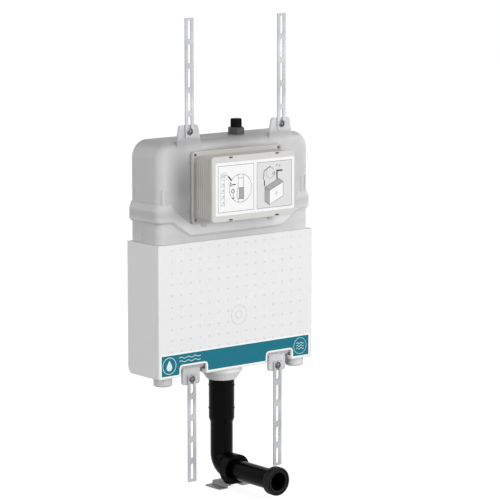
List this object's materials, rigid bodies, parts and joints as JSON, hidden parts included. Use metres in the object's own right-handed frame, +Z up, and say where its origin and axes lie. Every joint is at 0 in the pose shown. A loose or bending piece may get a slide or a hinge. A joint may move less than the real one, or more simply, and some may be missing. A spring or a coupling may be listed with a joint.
{
  "type": "concealed toilet cistern",
  "caption": "Slim moulded wall cistern in a foam jacket, with a front inspection box, slotted fixing straps, a top water inlet and a flush elbow with a straight outlet pipe.",
  "frame": {"origin": "middle of the foam jacket's rear face, on the wall plane", "axes": "+Z up, +Y into the wall, -Y out of the wall towards the room"},
  "size_m": [0.43, 0.255, 1.0435],
  "materials": {
    "tank_plastic": "translucent moulded polyethylene",
    "jacket_foam": "moulded polystyrene foam, fine beads",
    "jacket_print": "printed film, teal with a white edge",
    "seal_rubber": "matt rubber",
    "box_plastic": "warm grey moulded plastic",
    "cover_plastic": "off-white moulded plastic",
    "label_print": null,
    "galvanised_steel": "bright zinc plate",
    "screw_steel": "bright plated steel",
    "valve_plastic": "white moulded plastic",
    "nut_plastic": "taupe grey moulded plastic",
    "cap_plastic": "black moulded plastic",
    "lever_plastic": "blue moulded plastic",
    "pipe_plastic": "black polyethylene, soft sheen",
    "bracket_steel": "zinc-plated steel"
  },
  "bodies": {
    "cistern": {"tank": "tank_plastic", "insulation_jacket": "jacket_foam", "jacket_label": "jacket_print", "frame_gasket": "seal_rubber", "inspection_frame": "box_plastic", "frame_screws": "screw_steel", "stop_valve_body": "valve_plastic", "inlet_washer": "seal_rubber", "inlet_nut": "nut_plastic", "supply_pipe": "valve_plastic", "fill_valve_body": "valve_plastic", "fill_valve_bracket": "valve_plastic", "flush_valve_seat": "valve_plastic", "seat_washer": "seal_rubber", "flush_valve_housing": "valve_plastic", "lifter_bridge": "valve_plastic", "rocker_pin": "screw_steel", "outlet_nut": "valve_plastic", "pipe_cone_seal": "seal_rubber", "flush_elbow": "pipe_plastic", "elbow_lip_seal": "seal_rubber", "pipe_clip": "pipe_plastic", "floor_bracket": "bracket_steel", "clip_screws": "screw_steel"},
    "upper_left_pivot": {"upper_left_screw": "screw_steel"},
    "upper_right_pivot": {"upper_right_screw": "screw_steel"},
    "lower_left_pivot": {"lower_left_screw": "screw_steel"},
    "lower_right_pivot": {"lower_right_screw": "screw_steel"},
    "upper_left_arm": {"upper_left_strap": "galvanised_steel"},
    "upper_right_arm": {"upper_right_strap": "galvanised_steel"},
    "lower_left_arm": {"lower_left_strap": "galvanised_steel"},
    "lower_right_arm": {"lower_right_strap": "galvanised_steel"},
    "cover": {"front_cover": "cover_plastic", "instruction_label": "label_print"},
    "cap": {"inlet_cap": "cap_plastic"},
    "stop_lever": {"stop_valve_handle": "lever_plastic"},
    "fill_float": {"fill_valve_float": "valve_plastic"},
    "fill_arm": {"fill_valve_arm": "valve_plastic"},
    "flush_stem": {"flush_valve_stem": "valve_plastic", "flush_valve_seal": "seal_rubber"},
    "full_rocker": {"full_flush_rocker": "lever_plastic"},
    "half_float": {"half_flush_float": "valve_plastic"},
    "half_rocker": {"half_flush_rocker": "lever_plastic"},
    "outlet_extension": {"extension_pipe": "pipe_plastic", "end_seal": "seal_rubber"}
  },
  "joints": [
    {"name": "upper_left_strap_swivel", "type": "hinge", "parent": "cistern", "child": "upper_left_pivot", "pos_m": [-0.1275, -0.1062, 0.3855], "axis": [0, 1, 0], "range_deg": [-90, 25]},
    {"name": "upper_left_strap_slide", "type": "slide", "parent": "upper_left_pivot", "child": "upper_left_arm", "axis": [0, 0, 1], "range_m": [-0.0285, 0.0045]},
    {"name": "upper_right_strap_swivel", "type": "hinge", "parent": "cistern", "child": "upper_right_pivot", "pos_m": [0.1275, -0.1062, 0.3855], "axis": [0, 1, 0], "range_deg": [-25, 90]},
    {"name": "upper_right_strap_slide", "type": "slide", "parent": "upper_right_pivot", "child": "upper_right_arm", "axis": [0, 0, 1], "range_m": [-0.0285, 0.0045]},
    {"name": "lower_left_strap_swivel", "type": "hinge", "parent": "cistern", "child": "lower_left_pivot", "pos_m": [-0.1207, -0.1025, -0.1553], "axis": [0, 1, 0], "range_deg": [-15, 60]},
    {"name": "lower_left_strap_slide", "type": "slide", "parent": "lower_left_pivot", "child": "lower_left_arm", "axis": [0, 0, 1], "range_m": [0, 0.012]},
    {"name": "lower_right_strap_swivel", "type": "hinge", "parent": "cistern", "child": "lower_right_pivot", "pos_m": [0.1207, -0.1025, -0.1553], "axis": [0, 1, 0], "range_deg": [-60, 15]},
    {"name": "lower_right_strap_slide", "type": "slide", "parent": "lower_right_pivot", "child": "lower_right_arm", "axis": [0, 0, 1], "range_m": [0, 0.012]},
    {"name": "cover_pull", "type": "slide", "parent": "cistern", "child": "cover", "axis": [0, -1, 0], "range_m": [0, 0.05]},
    {"name": "cap_lift", "type": "slide", "parent": "cistern", "child": "cap", "axis": [0, 0, 1], "range_m": [0, 0.025]},
    {"name": "stop_valve_turn", "type": "hinge", "parent": "cistern", "child": "stop_lever", "pos_m": [0.042, -0.0666, 0.3247], "axis": [0, 1, 0], "range_deg": [0, 90]},
    {"name": "fill_float_rise", "type": "slide", "parent": "cistern", "child": "fill_float", "axis": [0, 0, 1], "range_m": [0, 0.01]},
    {"name": "fill_arm_turn", "type": "hinge", "parent": "cistern", "child": "fill_arm", "pos_m": [0.12, -0.0771, 0.2417], "axis": [0, -1, 0], "range_deg": [0, 26.5]},
    {"name": "flush_stem_lift", "type": "slide", "parent": "cistern", "child": "flush_stem", "axis": [0, 0, 1], "range_m": [0, 0.02]},
    {"name": "full_rocker_turn", "type": "hinge", "parent": "cistern", "child": "full_rocker", "pos_m": [-0.022, -0.088, 0.2347], "axis": [1, 0, 0], "range_deg": [0, 28.2]},
    {"name": "half_float_lift", "type": "slide", "parent": "cistern", "child": "half_float", "axis": [0, 0, 1], "range_m": [0, 0.02]},
    {"name": "half_rocker_turn", "type": "hinge", "parent": "cistern", "child": "half_rocker", "pos_m": [0.022, -0.088, 0.2347], "axis": [1, 0, 0], "range_deg": [0, 28.2]},
    {"name": "extension_pull", "type": "slide", "parent": "cistern", "child": "outlet_extension", "axis": [0, -1, 0], "range_m": [0, 0.01]}
  ],
  "couplings": [
    {"joint": "fill_arm_turn", "follows": "fill_float_rise", "rad_per_m": 45.455},
    {"joint": "full_rocker_turn", "follows": "flush_stem_lift", "rad_per_m": 24.39},
    {"joint": "half_rocker_turn", "follows": "half_float_lift", "rad_per_m": 24.39}
  ]
}
